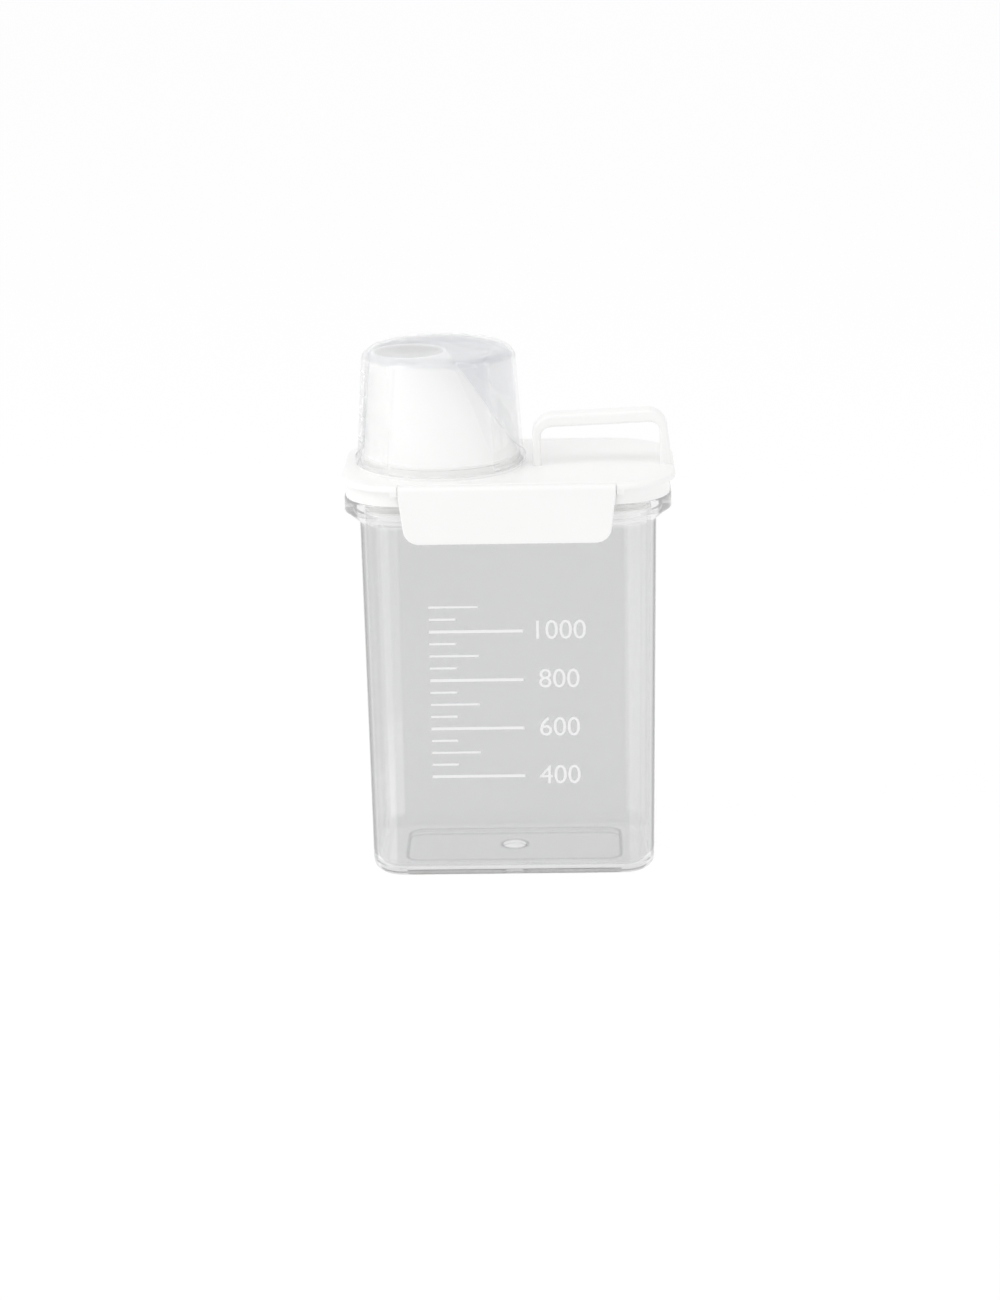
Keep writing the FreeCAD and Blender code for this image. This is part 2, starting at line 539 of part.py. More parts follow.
def make_lock_flap(name, turn):
    """Flap with a hinge barrel and pins, and a hook for the flange's sloping underside."""
    body = new_body(name)
    section = new_sketch(body, f"{name}_section", "YZ_Plane")
    add_outline(section, [
        (f"-{FLAP_INNER_Y}", FLAP_FOOT),
        (f"-{FLAP_INNER_Y}", BARREL_FOOT),
        (f"-{HINGE_Y}", BARREL_FOOT, "dims.barrel_radius"),
        (f"(dims.barrel_radius - {HINGE_Y})", HINGE_Z, "dims.barrel_radius"),
        (f"-{HINGE_Y}", LID_TOP),
        (f"-{FLAP_ROUND_Y}", LID_TOP, "dims.barrel_radius"),
        (f"-{FLAP_OUTER_Y}", HINGE_Z),
        (f"-{FLAP_OUTER_Y}", FLAP_FOOT),
    ])
    pad(body, section, "dims.flap_width", side="Symmetric")
    sides = new_sketch(body, f"{name}_sides", "XZ_Plane")
    for side in ("-", ""):
        top_x = f"{side}(dims.flap_width / 2)"
        foot_x = f"{side}{FLAP_FOOT_X}"
        add_outline(sides, [(top_x, BARREL_FOOT), (foot_x, FLAP_FOOT), (top_x, FLAP_FOOT)])
    pocket(body, sides, FLAP_OUTER_Y, up=True)
    foot = value(FLAP_FOOT)
    foot_x = value(FLAP_FOOT_X)
    front = value(f"-{FLAP_OUTER_Y}")
    round_edges(body, f"{name}_corners", "dims.flap_corner", lambda box: (
        level_at(box, foot) and near(abs(box.XMin), foot_x) and near(abs(box.XMax), foot_x)
        and near(box.XMin, box.XMax)
    ))
    round_edges(body, f"{name}_edges", "dims.flap_edge", lambda box: (
        near(box.YMin, front) and near(box.YMax, front) and box.ZMin < value(BARREL_FOOT) - EDGE_TOLERANCE
    ))
    hook = new_sketch(body, f"{name}_hook", "YZ_Plane")
    slope = "(dims.flange_slope / dims.flange_reach)"
    root_top = f"({FLANGE_UNDER} + dims.flap_gap * {slope} - dims.hook_clear)"
    tip_top = f"({root_top} - dims.hook_reach * {slope})"
    tip_foot = f"({tip_top} - dims.hook_tip)"
    root_y = f"-{FLAP_INNER_Y}"
    tip_y = f"-({FLAP_INNER_Y} - dims.hook_reach)"
    add_outline(hook, [
        (root_y, f"({tip_foot} - dims.hook_foot)"),
        (tip_y, tip_foot),
        (tip_y, tip_top),
        (root_y, root_top),
    ])
    pad(body, hook, f"2 * ({FLAP_FOOT_X} - dims.hook_inset)", side="Symmetric")
    pins = new_sketch(body, f"{name}_pins", "YZ_Plane")
    add_circle(pins, f"-{HINGE_Y}", HINGE_Z, "dims.flap_pin_radius")
    pad(body, pins, "dims.flap_width + 2 * dims.flap_pin_length", side="Symmetric")
    upright = FreeCAD.Vector(0, 0, 1)
    body.Placement = FreeCAD.Placement(FreeCAD.Vector(), FreeCAD.Rotation(upright, turn))
    return body


def stand_on_lid(body, rise):
    """Puts a round piece on the spout's axis, at a height above the lid's top."""
    body.setExpression("Placement.Base.x", SPOUT_X)
    body.setExpression("Placement.Base.z", f"{LID_TOP} + {rise}")


def make_pour_spout():
    """Leaning funnel on a collar, with a flange on the lid and a snap bead under its plate."""
    body = new_body("pour_spout")
    bore = f"({SPIGOT_RADIUS} - dims.spigot_wall)"
    bead_top = "(-dims.plate_thick - dims.snap_gap)"
    bead_foot = f"({bead_top} - dims.snap_height)"
    bead = f"({SPIGOT_RADIUS} + dims.snap_reach)"
    funnel_bore = f"({FUNNEL_RADIUS} - dims.spout_wall)"
    groove = f"({COLLAR_RADIUS} - dims.seal_depth)"
    seal_top = f"({SEAL_FOOT} + dims.seal_height)"
    collar = new_sketch(body, "collar", "XZ_Plane")
    add_outline(collar, [
        (bore, bead_foot),
        (SPIGOT_RADIUS, bead_foot),
        (bead, f"({bead_top} - dims.snap_height / 2)"),
        (bead, bead_top),
        (SPIGOT_RADIUS, bead_top),
        (SPIGOT_RADIUS, "0"),
        (SEAT_RADIUS, "0"),
        (SEAT_RADIUS, "dims.seat_thick"),
        (COLLAR_RADIUS, "dims.seat_thick"),
        (COLLAR_RADIUS, SEAL_FOOT),
        (groove, SEAL_FOOT),
        (groove, seal_top),
        (COLLAR_RADIUS, seal_top),
        (COLLAR_RADIUS, COLLAR_TOP),
        (funnel_bore, COLLAR_TOP),
        (funnel_bore, "dims.seat_thick"),
        (bore, "dims.seat_thick"),
    ])
    revolve(body, collar)
    circles = {}
    for name, level, x, radius in (
        ("funnel_foot", COLLAR_TOP, "0", FUNNEL_RADIUS),
        ("funnel_mouth", "dims.spout_height", f"-{SPOUT_LEAN}", "dims.spout_mouth_radius"),
        ("bore_foot", COLLAR_TOP, "0", funnel_bore),
        ("bore_mouth", "dims.spout_height", f"-{SPOUT_LEAN}", "dims.spout_mouth_radius - dims.spout_wall"),
    ):
        circles[name] = new_sketch(body, name, offset=level)
        add_circle(circles[name], x, "0", radius)
    loft(body, "AdditiveLoft", circles["funnel_foot"], circles["funnel_mouth"])
    loft(body, "SubtractiveLoft", circles["bore_foot"], circles["bore_mouth"])
    mouth = value("dims.spout_height")
    round_edges(body, "mouth_lip", "dims.spout_lip", lambda box: level_at(box, mouth))
    stand_on_lid(body, "0")
    return body


def make_ring(name, inner, outer, height, rise):
    """Flat silicone ring about the spout's axis."""
    body = new_body(name)
    circles = new_sketch(body, f"{name}_circles")
    add_circle(circles, "0", "0", inner)
    add_circle(circles, "0", "0", outer)
    pad(body, circles, height)
    stand_on_lid(body, rise)
    return body


def make_measuring_cup():
    """Tapered cup, upside down, with a ring round its open end and raised marks on its side."""
    body = new_body("measuring_cup")
    wall = new_sketch(body, "wall", "XZ_Plane")
    inside_top = f"({CUP_HEIGHT} - dims.cup_wall)"
    rim_wall = f"({CUP_RADIUS} - dims.cup_rim_height * {CUP_TAPER})"
    add_outline(wall, [
        (f"({CUP_RADIUS} - dims.cup_wall)", "0"),
        (CUP_RIM_RADIUS, "0"),
        (CUP_RIM_RADIUS, "dims.cup_rim_height"),
        (rim_wall, "dims.cup_rim_height"),
        (CUP_TOP_RADIUS, CUP_HEIGHT),
        ("0", CUP_HEIGHT),
        ("0", inside_top),
        (f"({CUP_TOP_RADIUS} - dims.cup_wall)", inside_top),
    ])
    revolve(body, wall)
    cup_top = value(CUP_HEIGHT)
    inner_top = value(inside_top)
    rim_top = value("dims.cup_rim_height")
    rim_radius = value(CUP_RIM_RADIUS)
    round_edges(body, "closed_end", "dims.cup_round", lambda box: level_at(box, cup_top))
    round_edges(body, "closed_end_inside", "dims.cup_round - dims.cup_wall",
                lambda box: level_at(box, inner_top))
    round_edges(body, "rim_edges", "dims.cup_rim_round", lambda box: (
        near(box.XMax, rim_radius) and (level_at(box, 0) or level_at(box, rim_top))
    ))
    marks = new_sketch(body, "marks", "XZ_Plane")
    for index in range(MARK_COUNT):
        high = f"({CUP_HEIGHT} - dims.mark_first - {index} * dims.mark_pitch)"
        low = f"({high} - dims.mark_height)"
        wall_high = f"({CUP_RADIUS} - {high} * {CUP_TAPER})"
        wall_low = f"({CUP_RADIUS} - {low} * {CUP_TAPER})"
        add_outline(marks, [
            (f"-({wall_low} - dims.cup_wall / 2)", low),
            (f"-({wall_low} + dims.mark_proud)", low),
            (f"-({wall_high} + dims.mark_proud)", high),
            (f"-({wall_high} - dims.cup_wall / 2)", high),
        ])
    revolve(body, marks, angle="dims.mark_sweep", both_ways=True)
    stand_on_lid(body, "dims.seat_thick")
    body.setExpression("Placement.Rotation.Angle", "dims.cup_turn * 1 deg")
    return body


def make_carry_handle():
    """Strap bent into a bail on the lid, with a barbed tongue through the plate under each leg."""
    body = new_body("carry_handle")
    strap = new_sketch(body, "strap", "XZ_Plane", f"-{STRAP_BACK}")

    def bend(leg, drop, radius, side, slope="0 deg"):
        """Where a bend leaves its leg and where it meets the bar, on a face of the strap."""
        inwards = "+" if side == "left" else "-"
        turn = f"(90 deg {'-' if side == 'left' else '+'} {TILT} - {slope})"
        over_foot = f"(dims.handle_rise + ({leg} - {LEG_LEFT}) * tan({TILT}) - {drop})"
        height = f"({over_foot} / (1 + tan({slope}) * tan({TILT})))"
        corner = f"({leg} - {height} * tan({slope}))"
        reach = f"({radius} * tan({turn} / 2))"
        on_leg = (f"({corner} + {reach} * sin({slope}))", f"({LID_TOP} + {height} - {reach} * cos({slope}))")
        on_bar = (f"({corner} {inwards} {reach} * cos({TILT}))",
                  f"({LID_TOP} + {height} {inwards} {reach} * sin({TILT}))")
        return on_leg, on_bar

    drop = f"(dims.bar_thick / cos({TILT}))"
    left_outer_leg, left_outer_bar = bend(LEG_LEFT, "0", "dims.bend_outer", "left")
    right_outer_leg, right_outer_bar = bend(LEG_RIGHT, "0", "dims.bend_outer", "right", SLOPE)
    left_inner_leg, left_inner_bar = bend(LEG_LEFT_INNER, drop, "dims.bend_inner", "left")
    right_inner_leg, right_inner_bar = bend(LEG_RIGHT_INNER, drop, "dims.bend_inner", "right")
    add_outline(strap, [
        (LEG_LEFT, LID_TOP),
        (LEG_LEFT_INNER, LID_TOP),
        (*left_inner_leg, "dims.bend_inner", "right"),
        left_inner_bar,
        (*right_inner_bar, "dims.bend_inner", "right"),
        right_inner_leg,
        (LEG_RIGHT_INNER, LID_TOP),
        (LEG_RIGHT, LID_TOP),
        (*right_outer_leg, "dims.bend_outer"),
        right_outer_bar,
        (*left_outer_bar, "dims.bend_outer"),
        left_outer_leg,
    ])
    pad(body, strap, "dims.handle_depth")
    foot = value(LID_TOP)
    faces = (value(STRAP_FRONT), value(STRAP_BACK))
    round_edges(body, "strap_edges", "dims.strap_round", lambda box: (
        near(box.YMin, box.YMax) and any(near(box.YMin, face) for face in faces) and not level_at(box, foot)
    ))
    barb_top = f"({PLATE_UNDER} - dims.snap_gap)"
    barb_foot = f"({barb_top} - dims.snap_height)"
    for side, outer, inner, inwards in tongue_sides():
        tongue = new_sketch(body, f"{side}_tongue", "XZ_Plane", f"-{TONGUE_BACK}")
        root = f"({LID_TOP} + dims.plate_thick)"
        barb = f"({inner} {inwards} dims.snap_reach)"
        add_outline(tongue, [
            (outer, root),
            (outer, barb_foot),
            (inner, barb_foot),
            (barb, f"({barb_top} - dims.snap_height / 2)"),
            (barb, barb_top),
            (inner, barb_top),
            (inner, root),
        ])
        pad(body, tongue, "dims.handle_depth - 2 * dims.tongue_margin")
    return body


PIECES = [
    make_jar_body(),
    make_lid(),
    make_lid_gasket(),
    make_lock_flap("front_lock_flap", 0),
    make_lock_flap("rear_lock_flap", 180),
    make_pour_spout(),
    make_ring("spout_gasket", RING_INNER, f"({RING_INNER} + dims.ring_width)", "dims.ring_thick",
              "-dims.ring_thick"),
    make_ring("cup_seal_ring", f"({COLLAR_RADIUS} - dims.seal_depth + dims.ring_clear)",
              f"({COLLAR_RADIUS} + dims.seal_proud)", "(dims.seal_height - dims.ring_clear)", SEAL_FOOT),
    make_measuring_cup(),
    make_carry_handle(),
]
doc.recompute()

for item in doc.Objects:
    if "Invalid" in item.State or "Error" in item.State:
        raise RuntimeError(f"{item.Label} failed to build: {item.State}")
for piece in PIECES:
    if piece.Shape.isNull() or not piece.Shape.isValid():
        raise RuntimeError(f"{piece.Label} has no valid shape")

os.makedirs("parts", exist_ok=True)
for piece in PIECES:
    piece.Shape.exportStep(f"parts/{piece.Label}.step")
    box = piece.Shape.BoundBox
    print(f"{piece.Label}: {len(piece.Shape.Solids)} solid, {piece.Shape.Volume:.0f} mm3,"
          f" x {box.XMin:.2f} to {box.XMax:.2f}, y {box.YMin:.2f} to {box.YMax:.2f},"
          f" z {box.ZMin:.2f} to {box.ZMax:.2f}")
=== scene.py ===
import math

import bpy
from mathutils import Matrix, Vector


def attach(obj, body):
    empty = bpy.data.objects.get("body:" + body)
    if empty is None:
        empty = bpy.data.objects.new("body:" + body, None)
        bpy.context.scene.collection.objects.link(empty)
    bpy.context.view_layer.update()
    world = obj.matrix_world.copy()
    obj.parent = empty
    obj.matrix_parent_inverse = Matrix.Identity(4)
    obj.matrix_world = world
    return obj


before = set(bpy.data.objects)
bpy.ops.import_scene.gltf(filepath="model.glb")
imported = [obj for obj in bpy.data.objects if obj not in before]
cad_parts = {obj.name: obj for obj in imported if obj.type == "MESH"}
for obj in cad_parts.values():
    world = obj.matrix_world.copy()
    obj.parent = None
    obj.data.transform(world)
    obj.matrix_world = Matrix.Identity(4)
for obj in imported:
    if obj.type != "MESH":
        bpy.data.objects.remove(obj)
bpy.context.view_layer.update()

scene = bpy.context.scene
scene.view_settings.view_transform = "Standard"

# Lengths are in metres. X is to the right, -Y to the front and Z up.

# Camera, from the photograph: a long lens, looking a little down and from the right, with a slight roll.
TARGET = Vector((0, 0, 0.110))
CAMERA_DISTANCE = 1.5
CAMERA_ELEVATION = math.radians(16.113)
CAMERA_ORBIT = math.radians(1.1)
CAMERA_ROLL = math.radians(1.03)
CAMERA_CLIP = (0.05, 30)
SENSOR = 36.0
LENS = 90.51
SHIFT = (-0.00841, -0.02007)

# Light: the world as it lights and as it is seen, the floor, and the point that the lamps are turned to.
WORLD_LIGHT = 0.81
WORLD_SEEN = 1.0
FLOOR_SIZE = 12
FLOOR_PAINT = 0.18
FLOOR_GLOW = 0.84
LAMP_AIM = Vector((0, 0, 0.17))

# Jar, as in the solids: its walls lean out from the base to the shoulder.
BASE_FRONT = 0.0365
WALL_LEAN = 0.0018 / 0.166

# Panel in the base and the round mark in it, as in the solids.
PANEL_X = 0.0495
PANEL_Y = 0.0215
PANEL_CORNER = 0.007
MARK_RADIUS = 0.006

# Measuring cup, as in the solids: its axis, its wall and its raised marks, with the ml that each stands for.
CUP_X = -0.0304
CUP_FOOT = 0.188
CUP_RADIUS = 0.0378
CUP_TAPER = 0.0034 / 0.0523
MARK_LEVELS = ((0.2308, "25"), (0.2208, "60"), (0.2108, "100"), (0.2008, "140"))
MARK_HEIGHT = 0.0009
MARK_PROUD = 0.00035
MARK_TURN = math.radians(17)
MARK_SWEEP = math.radians(15)
MARK_STEPS = 8

# Print: the level scale on the front wall, by its height per litre, and the figures.
INK_LIFT = 0.00006
LITRE_ZERO = 0.0034
LITRE_RISE = 0.1142
TICK_ML = 50
TICKS = range(8, 23)
TICK_LEFT = -0.036
TICK_SIZES = ((4, 0.042, 0.0007), (2, 0.022, 0.0005), (1, 0.012, 0.0005))
FIGURED_TICK = 4
FIGURES_X = 0.022
FIGURES_HEIGHT = 0.0088
CUP_FIGURES_TURN = 0.13
CUP_FIGURES_HEIGHT = 0.0032
FIGURE_SHARE = 0.7

# Clear plastic: how strongly it bends light, and the share of its solidness that lamps and the floor skip.
PLASTIC_IOR = 1.49
LIGHT_PASSED = 0.85

# Colours that the body's walls let through, with painted light and shade at the corners, sides, edges and
# mark.
BODY_FLAT = (0.648, 0.650, 0.653)
# Painted light: the corners are lighter than the flats, as if lit through the bent walls.
BODY_CORNER_LIGHT = (0.755, 0.757, 0.76)
# Painted highlight streaks low on the corners, brighter on the left than on the right.
BODY_HIGHLIGHT_STREAK_LEFT = (0.84, 0.84, 0.845)
BODY_HIGHLIGHT_STREAK_RIGHT = (0.75, 0.75, 0.755)
# Painted shade on the upright sides, which are seen edge on.
BODY_SIDE_SHADE = (0.32, 0.32, 0.325)
# Painted shade on the rounded lower edge at the front.
BODY_FOOT_SHADE = (0.46, 0.46, 0.465)
BODY_FLANGE = (0.985, 0.985, 0.987)
# Painted shade: the flange darkens towards its left and right ends.
BODY_FLANGE_END_SHADE = (0.86, 0.86, 0.865)
BODY_BASE = (0.62, 0.62, 0.63)
BODY_PANEL = (0.66, 0.66, 0.665)
# Painted highlight: the round mark in the base is left untinted, so that it shows bright.
BODY_MARK_HIGHLIGHT = (1.0, 1.0, 1.0)
# Painted shade: dark lines round the base panel and its mark, where the steps bend the light.
BODY_EDGE_SHADE = (0.16, 0.16, 0.18)

# How solid the body is to the eye, and by how much more or less in places.
BODY_ALPHA = 0.58
BODY_ALPHA_FOOT = 0.22
BODY_ALPHA_SIDE = 0.18
# The round mark is also made more see-through, as part of its painted bright spot.
BODY_ALPHA_MARK = -0.56

# Where the body's tints change. Each pair says where a rule is 0 and where it is 1.
# The next four set where the painted corner light and its painted highlight streaks lie.
CORNER_X = (0.0524, 0.0536)
CORNER_Y = (0.0244, 0.0256)
# Height below which the corners carry the painted highlight streaks.
HIGHLIGHT_STREAK_Z = (0.060, 0.048)
LEFT_TO_RIGHT = (-0.01, 0.01)
SIDE_SHIFT = 0.00032
# Where the painted shade on the upright sides starts.
SIDE_X = (0.06205, 0.06305)
SIDE_Z = (0.167, 0.165)
# Where the painted shade towards the flange ends starts.
FLANGE_X = (0.058, 0.066)
FLANGE_Z = (0.164, 0.167)
BASE_Z = (0.0075, 0.0045)
FLOOR_TOP_Z = (0.0026, 0.0029)
# Where the painted shade on the lower front edge starts.
FOOT_Y = (-0.031, -0.032)
FOOT_Z = (0.006, 0.004)
INSIDE_EDGE = (0.0002, -0.0002)
PANEL_SHADE = (0.0012, 0.0004)
MARK_SHADE = (0.0013, 0.0013 / 3)
MARK_CLEAR = (-0.0005, -0.0011)
MARK_Z = (0.0045, 0.0040)
SEEN_DEPTH = (2.6, 2.4)

# The same for the cup.
CUP_FRONT = (0.96, 0.965, 0.975)
CUP_BACK = (0.01, 0.016, 0.045)
CUP_END = (0.60, 0.63, 0.70)
CUP_ALPHA = 0.18
CUP_ALPHA_END = 0.24
CUP_ALPHA_RIM = 0.18
CUP_ALPHA_DISC = 0.12
CUP_ALPHA_MARKS = 0.20
CUP_BACK_Y = (-0.014, -0.001)
CUP_TINT_Z = (0.2358, 0.2388)
CUP_ROUND_Z = (0.2351, 0.2363)
CUP_DISC_Z = (0.2389, 0.2401)
CUP_RIM_Z = (0.1912, 0.1900)
CUP_MARKS_X = (-0.0639, -0.0649)


class Graph:
    """The nodes of a material or a world, with short ways to add to them."""

    def __init__(self, tree):
        self.nodes = tree.nodes
        self.links = tree.links

    def math(self, operation, first, second=None):
        """An operation on one or two values, each a socket or a number."""
        node = self.nodes.new("ShaderNodeMath")
        node.operation = operation
        for socket, item in zip(node.inputs, (first, second)):
            if isinstance(item, (int, float)):
                socket.default_value = item
            elif item is not None:
                self.links.new(item, socket)
        return node.outputs[0]

    def product(self, first, *others):
        """Values times each other."""
        for other in others:
            first = self.math("MULTIPLY", first, other)
        return first

    def reach(self, first, second):
        """The length of a step with two parts at a right angle."""
        return self.math("SQRT", self.math("ADD", self.product(first, first), self.product(second, second)))

    def ramp(self, item, ends):
        """0 at one value and 1 at another."""
        node = self.nodes.new("ShaderNodeMapRange")
        node.inputs["From Min"].default_value, node.inputs["From Max"].default_value = ends
        self.links.new(item, node.inputs["Value"])
        return node.outputs["Result"]

    def mixed(self, factor, first, second, blend="MIX"):
        """A colour between two, each a socket or a colour."""
        node = self.nodes.new("ShaderNodeMix")
        node.data_type = "RGBA"
        node.blend_type = blend
        if isinstance(factor, (int, float)):
            node.inputs["Factor"].default_value = factor
        else:
            self.links.new(factor, node.inputs["Factor"])
        for socket, item in ((node.inputs["A"], first), (node.inputs["B"], second)):
            if isinstance(item, tuple):
                socket.default_value = (*item, 1)
            else:
                self.links.new(item, socket)
        return node.outputs["Result"]

    def added(self, base, places):
        """A base value, plus one more value in each place where a rule is 1."""
        for place, more in places:
            base = self.math("ADD", self.product(place, more), base)
        return base

    def noise(self, vector, scale, detail, low=0, high=1):
        """A noise texture brought to a range of values."""
        noise = self.nodes.new("ShaderNodeTexNoise")
        noise.inputs["Scale"].default_value = scale
        noise.inputs["Detail"].default_value = detail
        self.links.new(vector, noise.inputs["Vector"])
        span = self.nodes.new("ShaderNodeMapRange")
        span.inputs["From Min"].default_value = 0.3
        span.inputs["From Max"].default_value = 0.7
        span.inputs["To Min"].default_value = low
        span.inputs["To Max"].default_value = high
        self.links.new(noise.outputs["Fac"], span.inputs["Value"])
        return span.outputs["Result"]

    def light_path(self):
        """What is known of the ray that meets the surface."""
        return self.nodes.new("ShaderNodeLightPath").outputs

    def bump(self, shader, height, strength, distance):
        """Fine relief on a shader's surface."""
        node = self.nodes.new("ShaderNodeBump")
        node.inputs["Strength"].default_value = strength
        node.inputs["Distance"].default_value = distance
        self.links.new(height, node.inputs["Height"])
        self.links.new(node.outputs["Normal"], shader.inputs["Normal"])


def new_material(name):
    """A node material with its graph and shader, and the coordinates that its textures use."""
    material = bpy.data.materials.new(name)
    material.use_nodes = True
    graph = Graph(material.node_tree)
    coordinates = graph.nodes.new("ShaderNodeTexCoord")
    return material, graph, graph.nodes["Principled BSDF"], coordinates.outputs["Object"]


def clear_plastic(name, ripple_scale, ripple_depth, colour_rule, alpha_rule, paired):
    """Clear moulded plastic with faint flow ripples and slight changes of gloss.

    Part of the light goes straight through. Where paired, a ray bends at both faces of a wall or at
    neither, so that nothing behind the wall shows twice.
    """
    material, graph, shader, vector = new_material(name)
    shader.inputs["Transmission Weight"].default_value = 1.0
    shader.inputs["IOR"].default_value = PLASTIC_IOR
    parts = graph.nodes.new("ShaderNodeSeparateXYZ")
    graph.links.new(vector, parts.inputs[0])
    tint = colour_rule(graph, *parts.outputs)
    path = graph.light_path()
    light = graph.math("MAXIMUM", path["Is Shadow Ray"], path["Is Diffuse Ray"])
    held = graph.math("SUBTRACT", 1, graph.product(light, LIGHT_PASSED))
    alpha = graph.product(alpha_rule(graph, *parts.outputs), held)
    if paired:
        leaving = graph.nodes.new("ShaderNodeNewGeometry").outputs["Backfacing"]
        bent = graph.math("MODULO", path["Transmission Depth"], 2)
        entering = graph.product(alpha, graph.math("SUBTRACT", 1, leaving))
        alpha = graph.math("ADD", graph.product(bent, leaving), entering)
    graph.links.new(alpha, shader.inputs["Alpha"])
    cloud = graph.mixed(graph.noise(vector, scale=14, detail=2), (1, 1, 1), (0.98, 0.98, 0.98))
    graph.links.new(graph.mixed(1, tint, cloud, "MULTIPLY"), shader.inputs["Base Color"])
    gloss = graph.noise(vector, scale=60, detail=4, low=0.015, high=0.05)
    graph.links.new(gloss, shader.inputs["Roughness"])
    stretch = graph.nodes.new("ShaderNodeMapping")
    stretch.inputs["Scale"].default_value = (1, 1, 0.25)
    graph.links.new(vector, stretch.inputs["Vector"])
    ripple = graph.noise(stretch.outputs["Vector"], scale=ripple_scale, detail=1)
    graph.bump(shader, ripple, strength=0.25, distance=ripple_depth)
    return material


def seen_once(graph):
    """1 for a ray that came through one wall at most, so that no mark shows a second time."""
    return graph.ramp(graph.light_path()["Ray Depth"], SEEN_DEPTH)


def body_foot(graph, y, z):
    """1 on the rounded lower edge at the front."""
    return graph.product(graph.ramp(z, FOOT_Z), graph.ramp(y, FOOT_Y))


def body_side(graph, x, z):
    """1 on the upright sides, which are seen edge on from the front."""
    across = graph.math("ABSOLUTE", graph.math("SUBTRACT", x, SIDE_SHIFT))
    beyond = graph.math("SUBTRACT", across, graph.product(z, WALL_LEAN))
    return graph.product(graph.ramp(beyond, SIDE_X), graph.ramp(z, SIDE_Z))


def body_colour(graph, x, y, z):
    """Smoky flats and a clearer flange, with painted light and shade: light corners and streaks, dark sides
    and edges, a bright mark.
    """
    across = graph.math("ABSOLUTE", x)
    along = graph.math("ABSOLUTE", y)
    corner = graph.product(graph.ramp(across, CORNER_X), graph.ramp(along, CORNER_Y))
    # Painted light: lighter corners, with painted highlight streaks low down, brighter on the left.
    highlight_streak = graph.mixed(graph.ramp(x, LEFT_TO_RIGHT), BODY_HIGHLIGHT_STREAK_LEFT, BODY_HIGHLIGHT_STREAK_RIGHT)
    upright = graph.mixed(graph.ramp(z, HIGHLIGHT_STREAK_Z), BODY_CORNER_LIGHT, highlight_streak)
    tint = graph.mixed(corner, BODY_FLAT, upright)
    # Painted shade: the upright sides are darkened.
    tint = graph.mixed(body_side(graph, x, z), tint, BODY_SIDE_SHADE)
    # Painted shade towards the flange's left and right ends.
    flange = graph.mixed(graph.ramp(across, FLANGE_X), BODY_FLANGE, BODY_FLANGE_END_SHADE)
    tint = graph.mixed(graph.ramp(z, FLANGE_Z), tint, flange)
    low = graph.ramp(z, BASE_Z)
    tint = graph.mixed(low, tint, BODY_BASE)
    direct = graph.product(low, seen_once(graph))
    floor_top = graph.product(direct, graph.ramp(z, FLOOR_TOP_Z))
    past_x = graph.math("MAXIMUM", graph.math("SUBTRACT", across, PANEL_X - PANEL_CORNER), 0)
    past_y = graph.math("MAXIMUM", graph.math("SUBTRACT", along, PANEL_Y - PANEL_CORNER), 0)
    for first, second, radius, colour, shade in (
        (past_x, past_y, PANEL_CORNER, BODY_PANEL, PANEL_SHADE), (x, y, MARK_RADIUS, BODY_MARK_HIGHLIGHT, MARK_SHADE),
    ):
        beyond = graph.math("SUBTRACT", graph.reach(first, second), radius)
        tint = graph.mixed(graph.product(direct, graph.ramp(beyond, INSIDE_EDGE)), tint, colour)
        # Painted shade lines round the panel and the mark.
        edge = graph.product(floor_top, graph.ramp(graph.math("ABSOLUTE", beyond), shade))
        tint = graph.mixed(edge, tint, BODY_EDGE_SHADE)
    # Painted shade: the rounded lower front edge is darkened.
    return graph.mixed(body_foot(graph, y, z), tint, BODY_FOOT_SHADE)


def body_alpha(graph, x, y, z):
    """More solid to the eye at the sides and the lower front edge, and less at the round mark in the base."""
    beyond = graph.math("SUBTRACT", graph.reach(x, y), MARK_RADIUS)
    mark = graph.product(graph.ramp(beyond, MARK_CLEAR), graph.ramp(z, MARK_Z), seen_once(graph))
    return graph.added(BODY_ALPHA, (
        (body_foot(graph, y, z), BODY_ALPHA_FOOT), (body_side(graph, x, z), BODY_ALPHA_SIDE),
        # More see-through at the mark, for its painted bright spot.
        (mark, BODY_ALPHA_MARK),
    ))


def cup_colour(graph, x, y, z):
    """Nearly clear in front, with a cool tint at the sides, the back and the closed end."""
    wall = graph.mixed(graph.ramp(y, CUP_BACK_Y), CUP_FRONT, CUP_BACK)
    return graph.mixed(graph.ramp(z, CUP_TINT_Z), wall, CUP_END)


def cup_alpha(graph, x, y, z):
    """More solid to the eye at the closed end, the rim ring and the raised marks."""
    rounding = graph.product(graph.ramp(z, CUP_ROUND_Z), graph.ramp(z, CUP_DISC_Z[::-1]))
    return graph.added(CUP_ALPHA, (
        (rounding, CUP_ALPHA_END), (graph.ramp(z, CUP_RIM_Z), CUP_ALPHA_RIM),
        (graph.ramp(z, CUP_DISC_Z), CUP_ALPHA_DISC), (graph.ramp(x, CUP_MARKS_X), CUP_ALPHA_MARKS),
    ))


def white_plastic(name, colour, roughness):
    """White moulded plastic with a fine satin grain."""
    material, graph, shader, vector = new_material(name)
    darker = tuple(part * 0.985 for part in colour)
    graph.links.new(graph.mixed(graph.noise(vector, scale=35, detail=3), colour, darker),
                    shader.inputs["Base Color"])
    gloss = graph.noise(vector, scale=400, detail=3, low=roughness - 0.05, high=roughness + 0.05)
    graph.links.new(gloss, shader.inputs["Roughness"])
    graph.bump(shader, graph.noise(vector, scale=1600, detail=2), strength=0.15, distance=0.00004)
    return material


